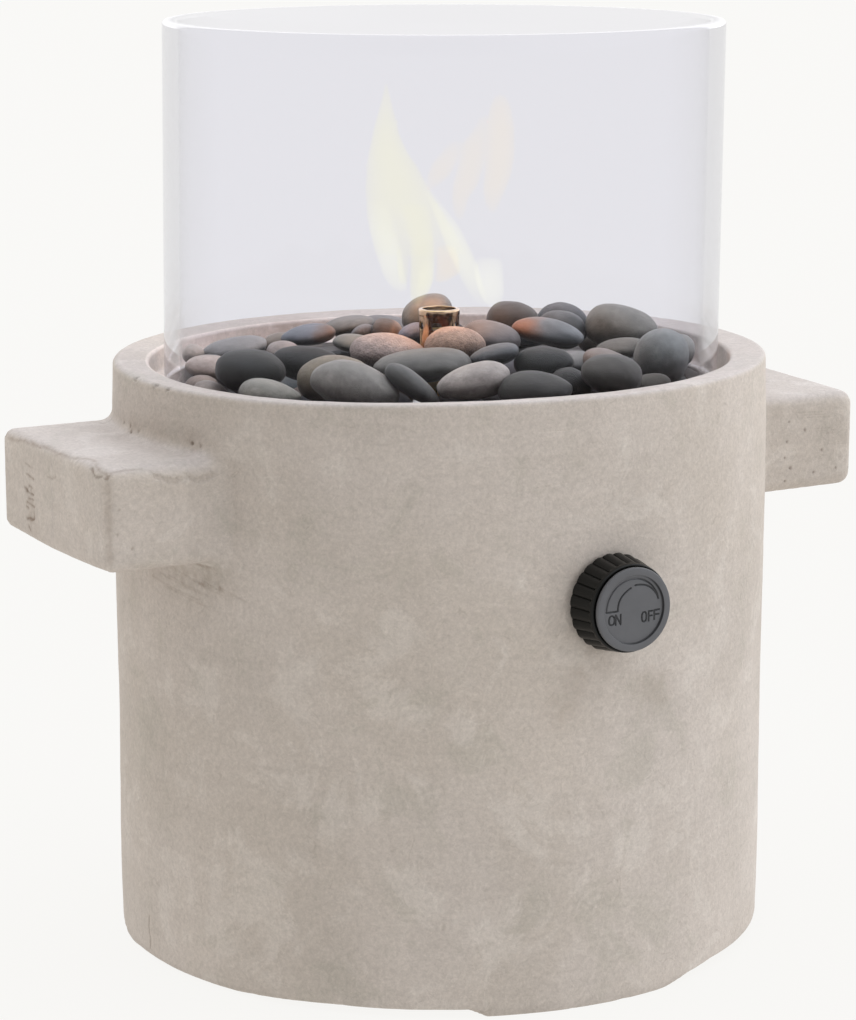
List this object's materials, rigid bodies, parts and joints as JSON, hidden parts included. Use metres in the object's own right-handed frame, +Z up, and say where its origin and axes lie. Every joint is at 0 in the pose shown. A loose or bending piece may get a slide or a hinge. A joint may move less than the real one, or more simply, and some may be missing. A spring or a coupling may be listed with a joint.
{
  "type": "tabletop gas lantern",
  "caption": "Round cast-concrete tabletop gas lantern with lugs, a glass cylinder, river pebbles round a burner and a side valve knob over a screw-in gas cartridge.",
  "frame": {"origin": "bottom centre of the bounding box, on the table plane; the axis of the round base stands 6.45 mm behind it because the knob stands out of the front", "axes": "+Z up, -Y out of the front through the knob, the two lugs along +X and -X"},
  "size_m": [0.269, 0.2227, 0.293],
  "materials": {
    "concrete": "cast concrete, matte, fine grain with small pits",
    "pad_rubber": "soft matte pad",
    "clear_glass": "clear, polished, fire-rounded edges",
    "dark_enamel": "heat-resistant satin black paint on steel sheet",
    "zinc_steel": "zinc-plated, satin",
    "stainless": "stainless steel, turned",
    "brass": "turned brass, satin",
    "copper_bronze": "polished copper-coloured brass, slightly heat-tinted",
    "seal_rubber": "nitrile rubber",
    "bush_plastic": "black nylon",
    "knob_black": "near-black moulded plastic, semi-gloss",
    "knob_grey": "dark grey, satin, engraved symbols",
    "can_paint": "plain light grey paint on drawn steel",
    "can_zinc": "tin-plated steel",
    "pebble_charcoal": "smooth, matte",
    "pebble_grey": "smooth, matte",
    "pebble_taupe": "smooth, matte",
    "pebble_slate": "smooth, matte",
    "pebble_brown": "smooth, matte",
    "pebble_olive": "smooth, matte",
    "pebble_red": "fine-grained, matte"
  },
  "bodies": {
    "base": {"concrete_body": "concrete", "foot_pads": "pad_rubber", "cast_inserts": "brass", "burner_pan": "dark_enamel", "pan_screws": "zinc_steel", "valve_bracket": "zinc_steel", "bracket_screws": "zinc_steel", "bracket_nuts": "zinc_steel", "heat_shield": "dark_enamel", "valve_body": "brass", "cartridge_adapter": "brass", "cartridge_seal": "seal_rubber", "cartridge_pin": "stainless", "gas_jet": "brass", "mixing_tube": "brass", "tube_locknut": "zinc_steel", "burner_head": "copper_bronze", "burner_gauze": "stainless", "gland_nut": "brass", "wall_bush": "bush_plastic", "pebbles_charcoal": "pebble_charcoal", "pebbles_grey": "pebble_grey", "pebbles_taupe": "pebble_taupe", "pebbles_slate": "pebble_slate", "pebbles_brown": "pebble_brown", "pebbles_olive": "pebble_olive", "pebbles_red": "pebble_red"},
    "glass": {"glass_cylinder": "clear_glass"},
    "spindle_ring": {"spindle_seal": "seal_rubber"},
    "knob": {"valve_spindle": "stainless", "extension_rod": "stainless", "rod_pin": "stainless", "control_knob": "knob_black", "knob_face": "knob_grey", "knob_clip": "stainless"},
    "cartridge": {"cartridge_can": "can_paint", "cartridge_valve": "can_zinc"}
  },
  "joints": [
    {"name": "glass_lift", "type": "slide", "parent": "base", "child": "glass", "axis": [0, 0, 1], "range_m": [0, 0.15]},
    {"name": "needle_rise", "type": "slide", "parent": "base", "child": "spindle_ring", "axis": [0, -1, 0], "range_m": [-0.00075, 0]},
    {"name": "knob_turn", "type": "hinge", "parent": "spindle_ring", "child": "knob", "pos_m": [0, 0.00645, 0.1263], "axis": [0, -1, 0], "range_deg": [-270, 0]},
    {"name": "cartridge_out", "type": "slide", "parent": "base", "child": "cartridge", "axis": [0, 0, -1], "range_m": [0, 0.11]}
  ],
  "couplings": [
    {"joint": "knob_turn", "follows": "needle_rise", "rad_per_m": 6283.2}
  ]
}
